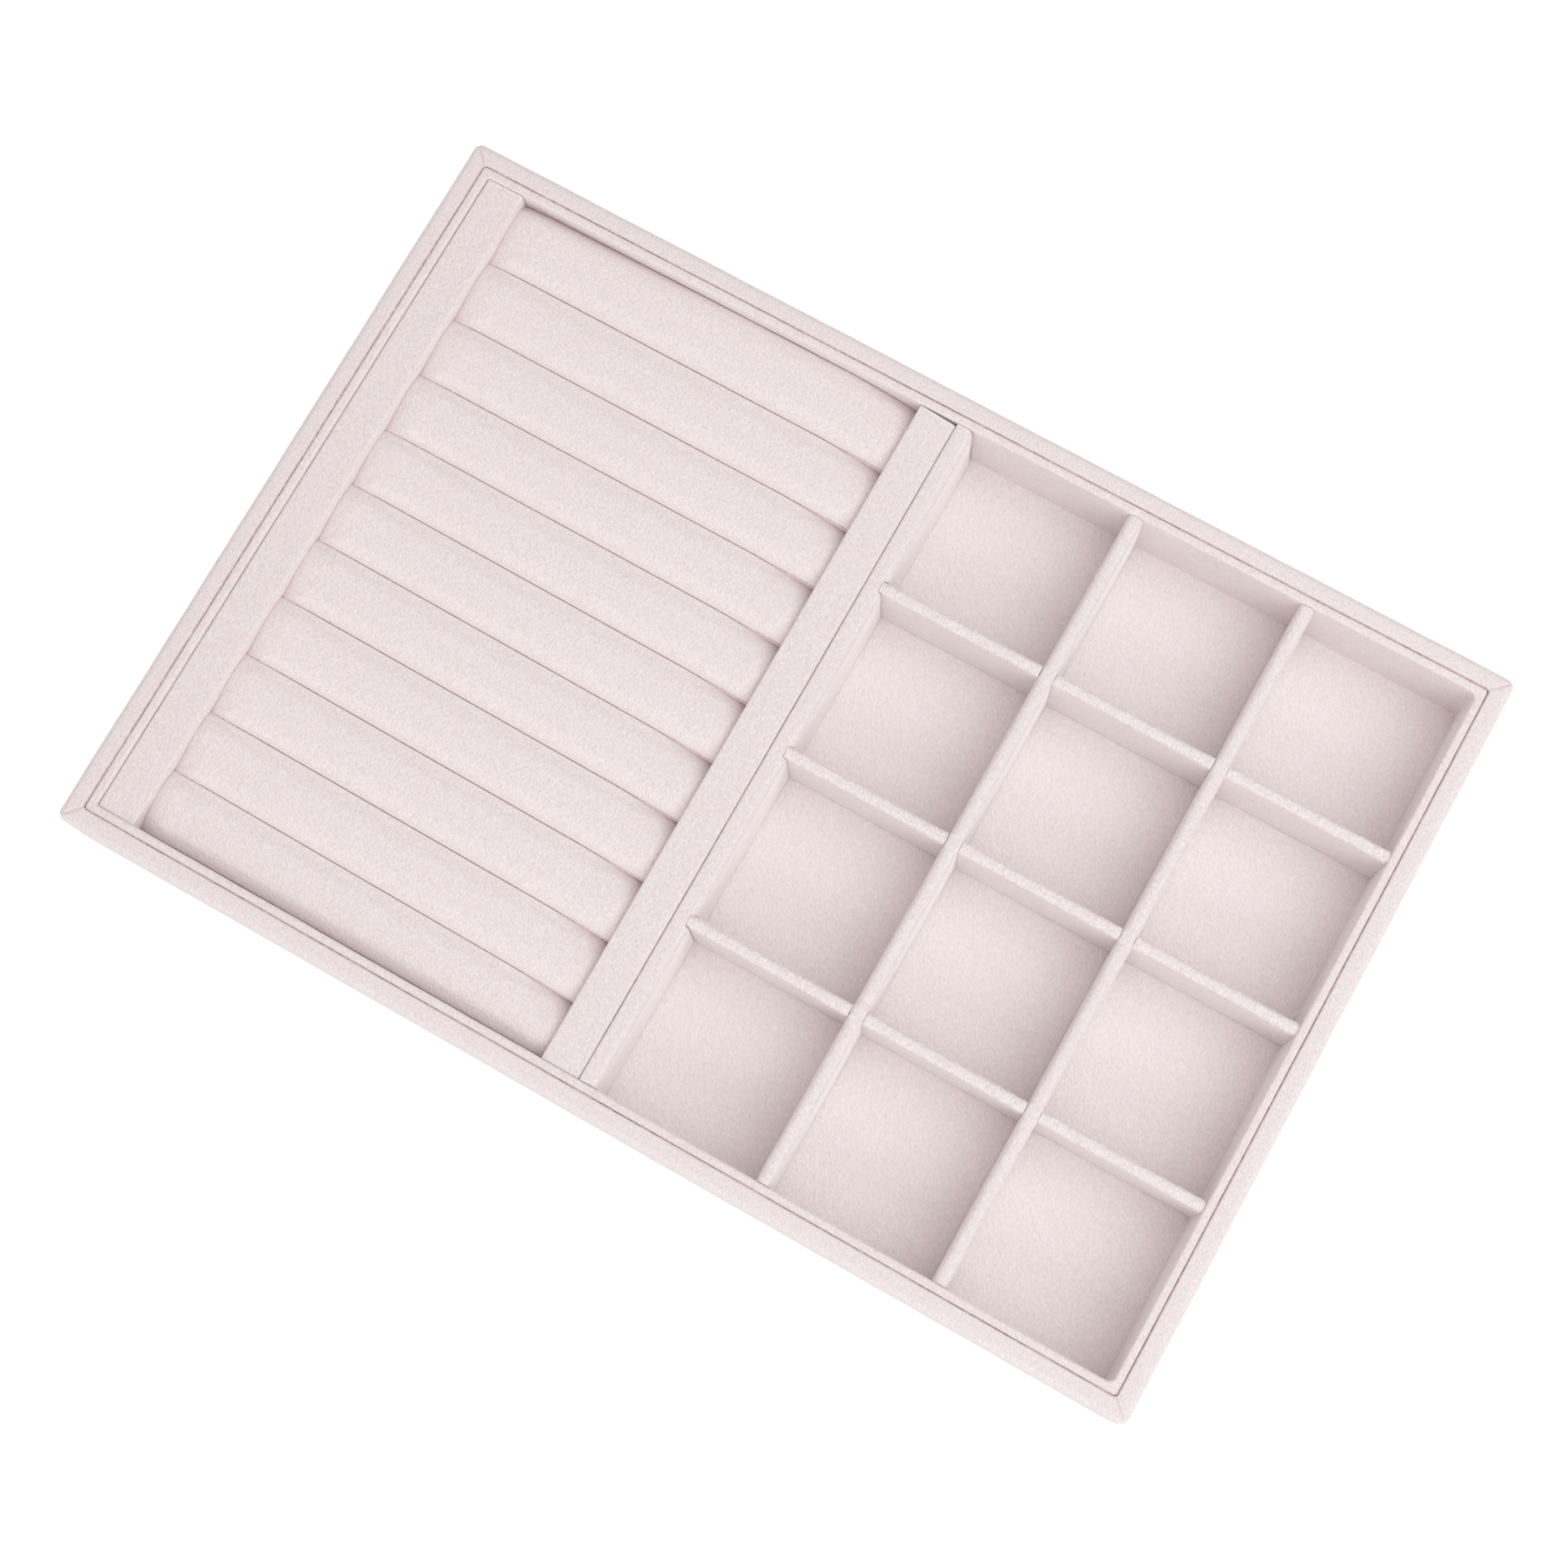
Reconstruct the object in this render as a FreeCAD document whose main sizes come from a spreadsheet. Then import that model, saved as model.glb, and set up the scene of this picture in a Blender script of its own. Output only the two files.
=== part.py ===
import FreeCAD, Part
import math
import os
import Sketcher

# Jewelry tray: boards wrapped in suede cloth, with soft ring rolls in a bay on the left and a grid
# of open compartments on the right. Millimetres. +X runs along the tray from the rolls to the
# compartments, +Y to its rear and +Z up. The origin is under the middle of the base.

ROLL_COUNT = 11
COLUMN_COUNT = 3
ROW_COUNT = 4
TOLERANCE = 0.01

SIZES = (
    ("tray_length", 350, "outside length, along X"),
    ("tray_width", 240, "outside width, along Y"),
    ("tray_height", 30, "from the underside up to the rim"),
    ("cloth_thickness", 0.5, "suede cloth on every wrapped piece"),
    ("wall_thickness", 5, "board inside the outer walls"),
    ("base_thickness", 2, "board under the whole tray"),
    ("underside_thickness", 0.5, "sheet that covers the hems under the base"),
    ("underside_inset", 5, "from the tray's edge in to the edge of that sheet"),
    ("floor_lining_thickness", 0.4, "cloth on the floor of the tray"),
    ("hem_width", 12, "cloth turned in under the base"),
    ("corner_radius", 2.5, "upright outer corners"),
    ("rim_outer_radius", 1.8, "outer edge of the rim"),
    ("rim_inner_radius", 1.2, "inner edge of the rim"),
    ("liner_board_thickness", 1.8, "board inside the liners"),
    ("liner_drop", 0.4, "from the rim down to the liners' top"),
    ("liner_edge_radius", 1, "both top edges of a liner"),
    ("insert_clearance", 0.4, "round the ring insert"),
    ("insert_board_thickness", 2, "board that carries the rolls and end bars"),
    ("end_bar_width", 12, "bar across the ends of the rolls"),
    ("end_bar_drop", 1.1, "from the rim down to the end bars' top"),
    ("end_bar_edge_radius", 0.8, "both top edges of an end bar"),
    ("right_bar_rear_gap", 1, "from the right end bar to the rear liner"),
    ("roll_length", 137, "ring roll, along X"),
    ("roll_end_gap", 0.3, "from a roll's end to its end bar"),
    ("roll_gap", 0.3, "between two rolls"),
    ("roll_rear_gap", 1.2, "behind the rearmost roll, beyond the insert's clearance"),
    ("roll_drop", 3.2, "from the rim down to a roll's crown"),
    ("roll_crown_radius", 24, "arc over the top of a roll"),
    ("roll_shoulder_radius", 4.5, "arcs from a roll's crown into its sides"),
    ("roll_end_length", 6, "stretch over which a roll's end draws in"),
    ("roll_end_dip", 1.8, "fall of the crown at a roll's end"),
    ("roll_end_narrowing", 1, "loss of width at a roll's end"),
    ("partition_thickness", 5.8, "wall between the ring bay and the compartments"),
    ("partition_drop", 0.8, "from the rim down to the partition's top"),
    ("partition_edge_radius", 1.4, "both top edges of the partition"),
    ("notch_depth", 1.5, "upright notches in the partition for the cross dividers"),
    ("long_divider_thickness", 4.6, "dividers that run from front to rear"),
    ("long_divider_drop", 0.9, "from the rim down to the long dividers' top"),
    ("long_divider_edge_radius", 2, "both top edges of a long divider"),
    ("cross_divider_thickness", 3.8, "dividers that run along X"),
    ("cross_divider_drop", 1.3, "from the rim down to the cross dividers' top"),
    ("cross_divider_edge_radius", 1.3, "both top edges of a cross divider"),
    ("lap_height", 12.5, "from the floor up to the half-lap of the dividers"),
    ("divider_clearance", 0.3, "at the dividers' ends, notches and laps"),
)

doc = FreeCAD.newDocument("jewelry_tray")
sheet = doc.addObject("Spreadsheet::Sheet", "sizes")
for row, (alias, value, note) in enumerate(SIZES, start=1):
    sheet.set(f"A{row}", note)
    sheet.set(f"B{row}", str(value))
    sheet.setAlias(f"B{row}", alias)
doc.recompute()

# Levels, from the underside up.
cloth = "sizes.cloth_thickness"
top_of_all = "sizes.tray_height"
hem_top = f"(sizes.underside_thickness + {cloth})"
base_top = f"({hem_top} + sizes.base_thickness)"
floor_top = f"({base_top} + sizes.floor_lining_thickness)"
lap_level = f"({floor_top} + sizes.lap_height)"
roll_foot = f"({floor_top} + sizes.insert_board_thickness)"

# Distances in from the outside of the tray, and the clear bay between the liners.
half_length = "(sizes.tray_length / 2)"
half_width = "(sizes.tray_width / 2)"
rim_width = f"(sizes.wall_thickness + 2 * {cloth})"
liner_width = f"(sizes.liner_board_thickness + 2 * {cloth})"
bay_half_length = f"({half_length} - {rim_width} - {liner_width})"
bay_half_width = f"({half_width} - {rim_width} - {liner_width})"

# The ring insert fills the left of the bay, and the partition stands against it.
insert_left = f"(-{bay_half_length} + sizes.insert_clearance)"
insert_front = f"(-{bay_half_width} + sizes.insert_clearance)"
insert_depth = f"(2 * {bay_half_width} - 2 * sizes.insert_clearance)"
roll_left = f"({insert_left} + sizes.end_bar_width + sizes.roll_end_gap)"
right_bar_left = f"({roll_left} + sizes.roll_length + sizes.roll_end_gap)"
insert_right = f"({right_bar_left} + sizes.end_bar_width)"
partition_left = f"({insert_right} + sizes.insert_clearance)"
partition_right = f"({partition_left} + sizes.partition_thickness)"

# Equal rolls share the depth of the insert, and equal compartments share what the dividers leave.
roll_pitch = f"(({insert_depth} - sizes.roll_rear_gap + sizes.roll_gap) / {ROLL_COUNT})"
roll_width = f"({roll_pitch} - sizes.roll_gap)"
column_width = (f"(({bay_half_length} - {partition_right}"
                f" - {COLUMN_COUNT - 1} * sizes.long_divider_thickness) / {COLUMN_COUNT})")
row_width = (f"((2 * {bay_half_width}"
             f" - {ROW_COUNT - 1} * sizes.cross_divider_thickness) / {ROW_COUNT})")


def long_divider_left(index):
    return (f"({partition_right} + {index + 1} * {column_width}"
            f" + {index} * sizes.long_divider_thickness)")


def cross_divider_front(index):
    return (f"(-{bay_half_width} + {index + 1} * {row_width}"
            f" + {index} * sizes.cross_divider_thickness)")


def number(expression):
    """The present value of an expression on the sheet."""
    return float(sheet.evalExpression(expression))


def bind(feature, bindings):
    for path, expression in bindings.items():
        feature.setExpression(path, expression)


def set_box(box, low, size):
    """Bind a box's lowest corner and its three sizes."""
    bind(box, {"Length": size[0], "Width": size[1], "Height": size[2]})
    bind(box, {"Placement.Base.x": low[0], "Placement.Base.y": low[1], "Placement.Base.z": low[2]})
    return box


def block(name, low, size):
    return set_box(doc.addObject("Part::Box", name), low, size)


def body_box(body, kind, low, size):
    return set_box(body.newObject(f"PartDesign::{kind}", f"{body.Name}_{kind}"), low, size)


def centred(half_x, half_y, bottom, top):
    """Corner and sizes of a box whose middle is over the origin."""
    return (f"-{half_x}", f"-{half_y}", bottom), (f"2 * {half_x}", f"2 * {half_y}", f"{top} - {bottom}")


def pair(kind, name, base, tool):
    """A cut or common of two solids."""
    result = doc.addObject(f"Part::{kind}", name)
    result.Base = base
    result.Tool = tool
    return result


def joined(name, solids):
    result = doc.addObject("Part::MultiFuse", name)
    result.Shapes = solids
    return result


def round_edges(body, wanted, radius):
    """Fillet the edges of the body's last feature whose bounding boxes are wanted."""
    doc.recompute()
    feature = body.Tip
    edges = [f"Edge{place}" for place, edge in enumerate(feature.Shape.Edges, start=1)
             if wanted(edge.BoundBox)]
    fillet = body.newObject("PartDesign::Fillet", f"{body.Name}_Fillet")
    fillet.Base = (feature, edges)
    fillet.setExpression("Radius", radius)


nodes = []


def node(feature, label):
    feature.Label = label
    nodes.append(feature)


# Rings that run round the tray: the wall boards with the base, their cloth, and the liners.
def upright(box):
    return box.XLength < TOLERANCE and box.YLength < TOLERANCE


def ring(name, outer, opening, corner_radius, outer_radius, inner_radius):
    """A block with an opening from above, and the edges of its rim rounded."""
    body = doc.addObject("PartDesign::Body", name)
    (low, size), (opening_low, opening_size) = outer, opening
    body_box(body, "AdditiveBox", low, size)
    if corner_radius:
        round_edges(body, upright, corner_radius)
    body_box(body, "SubtractiveBox", opening_low, opening_size)
    top = number(f"{low[2]} + {size[2]}")
    reach_x = number(f"-{opening_low[0]}") + TOLERANCE
    reach_y = number(f"-{opening_low[1]}") + TOLERANCE

    def on_top(box):
        return box.ZMin > top - TOLERANCE

    def in_opening(box):
        return max(box.XMax, -box.XMin) < reach_x and max(box.YMax, -box.YMin) < reach_y

    round_edges(body, lambda box: on_top(box) and not in_opening(box), outer_radius)
    round_edges(body, lambda box: on_top(box) and in_opening(box), inner_radius)
    return body


board_half_length = f"({half_length} - {cloth})"
board_half_width = f"({half_width} - {cloth})"
inside_half_length = f"({half_length} - {cloth} - sizes.wall_thickness)"
inside_half_width = f"({half_width} - {cloth} - sizes.wall_thickness)"
seam_half_length = f"({half_length} - {rim_width})"
seam_half_width = f"({half_width} - {rim_width})"
liner_top = f"({top_of_all} - sizes.liner_drop)"

carcass = ring(
    "carcass",
    centred(board_half_length, board_half_width, hem_top, f"({top_of_all} - {cloth})"),
    centred(inside_half_length, inside_half_width, base_top, top_of_all),
    f"sizes.corner_radius - {cloth}", f"sizes.rim_outer_radius - {cloth}",
    f"sizes.rim_inner_radius - {cloth}")
wall_skin = ring(
    "wall_skin",
    centred(half_length, half_width, hem_top, top_of_all),
    centred(seam_half_length, seam_half_width, hem_top, top_of_all),
    "sizes.corner_radius", "sizes.rim_outer_radius", "sizes.rim_inner_radius")
liner_skin = ring(
    "liner_skin",
    centred(seam_half_length, seam_half_width, floor_top, liner_top),
    centred(bay_half_length, bay_half_width, floor_top, liner_top),
    None, "sizes.liner_edge_radius", "sizes.liner_edge_radius")
liner_boards = ring(
    "liner_boards",
    centred(f"({seam_half_length} - {cloth})", f"({seam_half_width} - {cloth})",
            floor_top, f"({liner_top} - {cloth})"),
    centred(f"({bay_half_length} + {cloth})", f"({bay_half_width} + {cloth})", floor_top, liner_top),
    None, f"sizes.liner_edge_radius - {cloth}", f"sizes.liner_edge_radius - {cloth}")

# The wall cloth turns in under the base as a hem.
hem_corners = doc.addObject("PartDesign::Body", "hem_corners")
body_box(hem_corners, "AdditiveBox",
         *centred(half_length, half_width, "sizes.underside_thickness", hem_top))
round_edges(hem_corners, upright, "sizes.corner_radius")
hem_opening = block("hem_opening", *centred(
    f"({half_length} - sizes.hem_width)", f"({half_width} - sizes.hem_width)",
    "sizes.underside_thickness", hem_top))
hem = pair("Cut", "hem", hem_corners, hem_opening)
wall_cloth = pair("Cut", "wall_cloth", joined("wall_skin_and_hem", [wall_skin, hem]), carcass)
liner_cloth = pair("Cut", "liner_cloth", liner_skin, liner_boards)

# Mitred corners: a trapezium along each side takes that side's piece out of a ring.
SIDES = (("front", 0, "length"), ("rear", 180, "length"), ("left", -90, "width"), ("right", 90, "width"))
mitre_depth = "(2 * sizes.hem_width)"


def mitre(name, turn, along):
    half_along, half_across = (half_length, half_width)
    if along == "width":
        half_along, half_across = (half_width, half_length)
    wedge = doc.addObject("Part::Wedge", name)
    bind(wedge, {"Xmin": f"-{half_along}", "Xmax": half_along,
                 "X2min": f"-{half_along} + {mitre_depth}", "X2max": f"{half_along} - {mitre_depth}",
                 "Ymin": f"-{half_across}", "Ymax": f"-{half_across} + {mitre_depth}",
                 "Zmin": "0", "Z2min": "0", "Zmax": top_of_all, "Z2max": top_of_all})
    wedge.Placement.Rotation = FreeCAD.Rotation(FreeCAD.Vector(0, 0, 1), turn)
    return wedge


# The base board and the four wall boards. The short walls stand between the long ones.
wall_height = f"{top_of_all} - {base_top}"
base_slab = block("base_slab", *centred(half_length, half_width, hem_top, base_top))
node(pair("Common", "base_board", carcass, base_slab), "base_board")
wall_places = {
    "front": ((f"-{half_length}", f"-{half_width}", base_top),
              (f"2 * {half_length}", f"{half_width} - {inside_half_width}", wall_height)),
    "rear": ((f"-{half_length}", inside_half_width, base_top),
             (f"2 * {half_length}", f"{half_width} - {inside_half_width}", wall_height)),
    "left": ((f"-{half_length}", f"-{inside_half_width}", base_top),
             (f"{half_length} - {inside_half_length}", f"2 * {inside_half_width}", wall_height)),
    "right": ((inside_half_length, f"-{inside_half_width}", base_top),
              (f"{half_length} - {inside_half_length}", f"2 * {inside_half_width}", wall_height)),
}
for side, turn, along in SIDES:
    wedge = mitre(f"{side}_mitre", turn, along)
    place = block(f"{side}_wall_place", *wall_places[side])
    node(pair("Common", f"{side}_wall_core", carcass, place), f"{side}_wall_core")
    node(pair("Common", f"{side}_wall_cover", wall_cloth, wedge), f"{side}_wall_cover")
    node(pair("Common", f"{side}_liner_core", liner_boards, wedge), f"{side}_liner_core")
    node(pair("Common", f"{side}_liner_cover", liner_cloth, wedge), f"{side}_liner_cover")

# The underside sheet lies over the hems, and its middle fills the space between them.
underside_flat = block("underside_flat", *centred(
    f"({half_length} - sizes.underside_inset)", f"({half_width} - sizes.underside_inset)",
    "0", "sizes.underside_thickness"))
underside_middle = block("underside_middle", *centred(
    f"({half_length} - sizes.hem_width)", f"({half_width} - sizes.hem_width)", "0", hem_top))
node(joined("underside_sheet", [underside_flat, underside_middle]), "underside_sheet")
node(block("floor_lining", *centred(seam_half_length, seam_half_width, base_top, floor_top)),
     "floor_lining")


# Wrapped boards: the partition, the end bars and the dividers.
def rounded_board(name, low, size, radius, runs_along_x):
    """A board with its two long top edges rounded."""
    body = doc.addObject("PartDesign::Body", name)
    body_box(body, "AdditiveBox", low, size)
    top = number(f"{low[2]} + {size[2]}")

    def long_top_edge(box):
        run = box.XLength if runs_along_x else box.YLength
        return box.ZMin > top - TOLERANCE and run > TOLERANCE

    round_edges(body, long_top_edge, radius)
    return body


def wrapped_board(label, low, size, radius, runs_along_x, cuts=()):
    """A board, and the cloth that goes up one face, over its top and down the other face."""
    core_low, core_size = list(low), list(size)
    across = 1 if runs_along_x else 0
    core_low[across] = f"{low[across]} + {cloth}"
    core_size[across] = f"{size[across]} - 2 * {cloth}"
    core_size[2] = f"{size[2]} - {cloth}"
    skin = rounded_board(f"{label}_skin", low, size, radius, runs_along_x)
    core = rounded_board(f"{label}_board", core_low, core_size, f"{radius} - {cloth}", runs_along_x)
    cover = pair("Cut", f"{label}_cloth", skin, core)
    if cuts:
        tool = joined(f"{label}_cuts", list(cuts))
        core = pair("Cut", f"{label}_cut_board", core, tool)
        cover = pair("Cut", f"{label}_cut_cloth", cover, tool)
    node(core, f"{label}_core")
    node(cover, f"{label}_cover")


def board_height(drop):
    return f"({top_of_all} - {drop} - {floor_top})"


# The partition is glued to the floor, with a notch for the end of each cross divider.
notches = []
for index in range(ROW_COUNT - 1):
    low = (f"{partition_right} - sizes.notch_depth",
           f"{cross_divider_front(index)} - sizes.divider_clearance", base_top)
    size = ("2 * sizes.notch_depth",
            "sizes.cross_divider_thickness + 2 * sizes.divider_clearance", top_of_all)
    notches.append(block(f"partition_notch_{index}", low, size))
wrapped_board(
    "partition",
    (partition_left, f"-{bay_half_width} + sizes.divider_clearance", floor_top),
    ("sizes.partition_thickness", f"2 * {bay_half_width} - 2 * sizes.divider_clearance",
     board_height("sizes.partition_drop")),
    "sizes.partition_edge_radius", False, notches)

# The long dividers slip down over the cross dividers, so their slots open downwards.
LONG_NAMES = ("left_long_divider", "right_long_divider")
for index, label in enumerate(LONG_NAMES):
    slots = []
    for crossing in range(ROW_COUNT - 1):
        low = (f"{long_divider_left(index)} - {cloth}",
               f"{cross_divider_front(crossing)} - sizes.divider_clearance", base_top)
        size = (f"sizes.long_divider_thickness + 2 * {cloth}",
                "sizes.cross_divider_thickness + 2 * sizes.divider_clearance",
                f"{lap_level} + sizes.divider_clearance - {base_top}")
        slots.append(block(f"{label}_slot_{crossing}", low, size))
    wrapped_board(
        label,
        (long_divider_left(index), f"-{bay_half_width} + sizes.divider_clearance", floor_top),
        ("sizes.long_divider_thickness", f"2 * {bay_half_width} - 2 * sizes.divider_clearance",
         board_height("sizes.long_divider_drop")),
        "sizes.long_divider_edge_radius", False, slots)

# The cross dividers reach from the partition's notches to the right liner, slotted from above.
CROSS_NAMES = ("front_cross_divider", "middle_cross_divider", "rear_cross_divider")
cross_left = f"({partition_right} - sizes.notch_depth + sizes.divider_clearance)"
for index, label in enumerate(CROSS_NAMES):
    slots = []
    for crossing in range(COLUMN_COUNT - 1):
        low = (f"{long_divider_left(crossing)} - sizes.divider_clearance",
               f"{cross_divider_front(index)} - {cloth}", lap_level)
        size = ("sizes.long_divider_thickness + 2 * sizes.divider_clearance",
                f"sizes.cross_divider_thickness + 2 * {cloth}", top_of_all)
        slots.append(block(f"{label}_slot_{crossing}", low, size))
    wrapped_board(
        label,
        (cross_left, cross_divider_front(index), floor_top),
        (f"{bay_half_length} - sizes.divider_clearance - {cross_left}",
         "sizes.cross_divider_thickness", board_height("sizes.cross_divider_drop")),
        "sizes.cross_divider_edge_radius", True, slots)

# The ring insert: a loose board that carries two end bars and the rolls between them.
node(block("insert_board", (insert_left, insert_front, floor_top),
           (f"{insert_right} - {insert_left}", insert_depth, "sizes.insert_board_thickness")),
     "insert_board")
bar_height = f"({top_of_all} - sizes.end_bar_drop - {roll_foot})"
right_bar_depth = f"{insert_depth} + sizes.insert_clearance - sizes.right_bar_rear_gap"
for label, left, depth in (("left_end_bar", insert_left, insert_depth),
                           ("right_end_bar", right_bar_left, right_bar_depth)):
    wrapped_board(label, (left, insert_front, roll_foot), ("sizes.end_bar_width", depth, bar_height),
                  "sizes.end_bar_edge_radius", False)


def roll_section(body, name, station, middle, foot, width, height, shoulder, crown):
    """Outline of a roll across its length: a flat foot, upright sides, shoulders and a crown."""
    sketch = body.newObject("Sketcher::SketchObject", name)
    plane = next(part for part in body.Origin.OriginFeatures if part.Role == "YZ_Plane")
    sketch.AttachmentSupport = [(plane, "")]
    sketch.MapMode = "FlatFace"
    bind(sketch, {"AttachmentOffset.Base.x": middle, "AttachmentOffset.Base.y": foot,
                  "AttachmentOffset.Base.z": station})
    rise = f"sqrt(({crown} - {shoulder})^2 - ({width} / 2 - {shoulder})^2)"
    side = f"{height} - {crown} + {rise}"
    half, side_now = number(f"{width} / 2"), number(side)
    shoulder_now, crown_now = number(shoulder), number(crown)
    crown_middle = FreeCAD.Vector(0, number(height) - crown_now, 0)
    shoulder_x = half - shoulder_now
    lean = math.atan2(number(rise), shoulder_x)
    up = FreeCAD.Vector(0, 0, 1)

    def arc(middle_point, radius, start, end):
        return Part.ArcOfCircle(Part.Circle(middle_point, up, radius), start, end)

    corners = [FreeCAD.Vector(x, y, 0)
               for x, y in ((-half, 0), (half, 0), (half, side_now), (-half, side_now))]
    foot_line, right_side, right_arc, crown_arc, left_arc, left_side = range(6)
    sketch.addGeometry([
        Part.LineSegment(corners[0], corners[1]),
        Part.LineSegment(corners[1], corners[2]),
        arc(FreeCAD.Vector(shoulder_x, side_now, 0), shoulder_now, 0, lean),
        arc(crown_middle, crown_now, lean, math.pi - lean),
        arc(FreeCAD.Vector(-shoulder_x, side_now, 0), shoulder_now, math.pi - lean, math.pi),
        Part.LineSegment(corners[3], corners[0]),
    ])
    start, end, centre, x_axis, y_axis = 1, 2, 3, -1, -2
    sketch.addConstraint([
        Sketcher.Constraint("Coincident", foot_line, end, right_side, start),
        Sketcher.Constraint("Tangent", right_side, end, right_arc, start),
        Sketcher.Constraint("Tangent", right_arc, end, crown_arc, start),
        Sketcher.Constraint("Tangent", crown_arc, end, left_arc, start),
        Sketcher.Constraint("Tangent", left_arc, end, left_side, start),
        Sketcher.Constraint("Coincident", left_side, end, foot_line, start),
        Sketcher.Constraint("Vertical", right_side),
        Sketcher.Constraint("Vertical", left_side),
        Sketcher.Constraint("Symmetric", foot_line, start, foot_line, end, y_axis),
        Sketcher.Constraint("PointOnObject", foot_line, start, x_axis),
        Sketcher.Constraint("PointOnObject", crown_arc, centre, y_axis),
        Sketcher.Constraint("Equal", right_arc, left_arc),
    ])
    for constraint, size in (
            (Sketcher.Constraint("DistanceX", foot_line, start, foot_line, end, 2 * half), width),
            (Sketcher.Constraint("DistanceY", right_side, start, right_side, end, side_now), side),
            (Sketcher.Constraint("Radius", right_arc, shoulder_now), shoulder),
            (Sketcher.Constraint("Radius", crown_arc, crown_now), crown)):
        sketch.setExpression(f"Constraints[{sketch.addConstraint(constraint)}]", size)
    return sketch


def roll_form(name, middle, inset):
    """A roll drawn in at both ends, with its surface the given inset below the cloth's."""
    body = doc.addObject("PartDesign::Body", name)
    width = f"({roll_width} - 2 * {inset})"
    height = f"({top_of_all} - sizes.roll_drop - {roll_foot} - 2 * {inset})"
    foot = f"{roll_foot} + {inset}"
    shoulder = f"(sizes.roll_shoulder_radius - {inset})"
    crown = f"(sizes.roll_crown_radius - {inset})"
    end_width = f"({width} - sizes.roll_end_narrowing)"
    end_height = f"({height} - sizes.roll_end_dip)"
    roll_right = f"({roll_left} + sizes.roll_length)"
    stations = ((roll_left, end_width, end_height),
                (f"{roll_left} + sizes.roll_end_length", width, height),
                (f"{roll_right} - sizes.roll_end_length", width, height),
                (roll_right, end_width, end_height))
    sections = [roll_section(body, f"{name}_section_{place}", station, middle, foot,
                             wide, tall, shoulder, crown)
                for place, (station, wide, tall) in enumerate(stations)]
    doc.recompute()
    loft = body.newObject("PartDesign::AdditiveLoft", f"{name}_loft")
    loft.Profile = sections[0]
    loft.Sections = sections[1:]
    loft.Ruled = True
    return body


# Ring rolls, from the front to the rear: a foam core in a sleeve of cloth.
for index in range(ROLL_COUNT):
    middle = f"{insert_front} + {roll_width} / 2 + {index} * {roll_pitch}"
    tag = f"{index + 1:02d}"
    skin = roll_form(f"ring_roll_skin_{tag}", middle, "0")
    foam = roll_form(f"ring_roll_foam_{tag}", middle, cloth)
    node(foam, f"ring_roll_foam_{tag}")
    node(pair("Cut", f"ring_roll_cover_{tag}", skin, foam), f"ring_roll_cover_{tag}")

doc.recompute()
for feature in doc.Objects:
    if "Invalid" in feature.State or "Error" in feature.State:
        raise RuntimeError(f"{feature.Label} did not compute")
for feature in nodes:
    if feature.Shape.isNull() or not feature.Shape.isValid() or not feature.Shape.Solids:
        raise RuntimeError(f"{feature.Label} has no valid solid")

os.makedirs("parts", exist_ok=True)
for feature in nodes:
    feature.Shape.exportStep(f"parts/{feature.Label}.step")
    box = feature.Shape.BoundBox
    print(f"{feature.Label}: {len(feature.Shape.Solids)} solid, {feature.Shape.Volume:.0f} mm3,"
          f" {box.XMin:.2f} {box.YMin:.2f} {box.ZMin:.2f} to {box.XMax:.2f} {box.YMax:.2f} {box.ZMax:.2f}")
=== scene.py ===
import math

import bmesh
import bpy
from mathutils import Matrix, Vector


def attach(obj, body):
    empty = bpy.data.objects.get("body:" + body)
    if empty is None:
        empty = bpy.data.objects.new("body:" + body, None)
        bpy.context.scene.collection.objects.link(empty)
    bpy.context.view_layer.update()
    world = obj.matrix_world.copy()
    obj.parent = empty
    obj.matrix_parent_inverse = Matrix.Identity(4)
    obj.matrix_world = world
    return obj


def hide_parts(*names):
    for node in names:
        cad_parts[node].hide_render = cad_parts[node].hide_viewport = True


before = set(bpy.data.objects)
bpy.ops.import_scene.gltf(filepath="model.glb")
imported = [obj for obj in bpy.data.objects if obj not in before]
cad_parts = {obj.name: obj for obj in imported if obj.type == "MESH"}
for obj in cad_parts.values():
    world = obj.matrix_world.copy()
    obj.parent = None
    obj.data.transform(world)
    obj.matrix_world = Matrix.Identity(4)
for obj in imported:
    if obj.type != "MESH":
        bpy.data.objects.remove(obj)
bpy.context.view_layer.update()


# Grey board
# The base, walls, liners, dividers and end bars are cut from pressed grey board and glued edge to
# edge. Cloth hides it, apart from cut ends, the dividers' slots and the underside of the insert.

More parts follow.
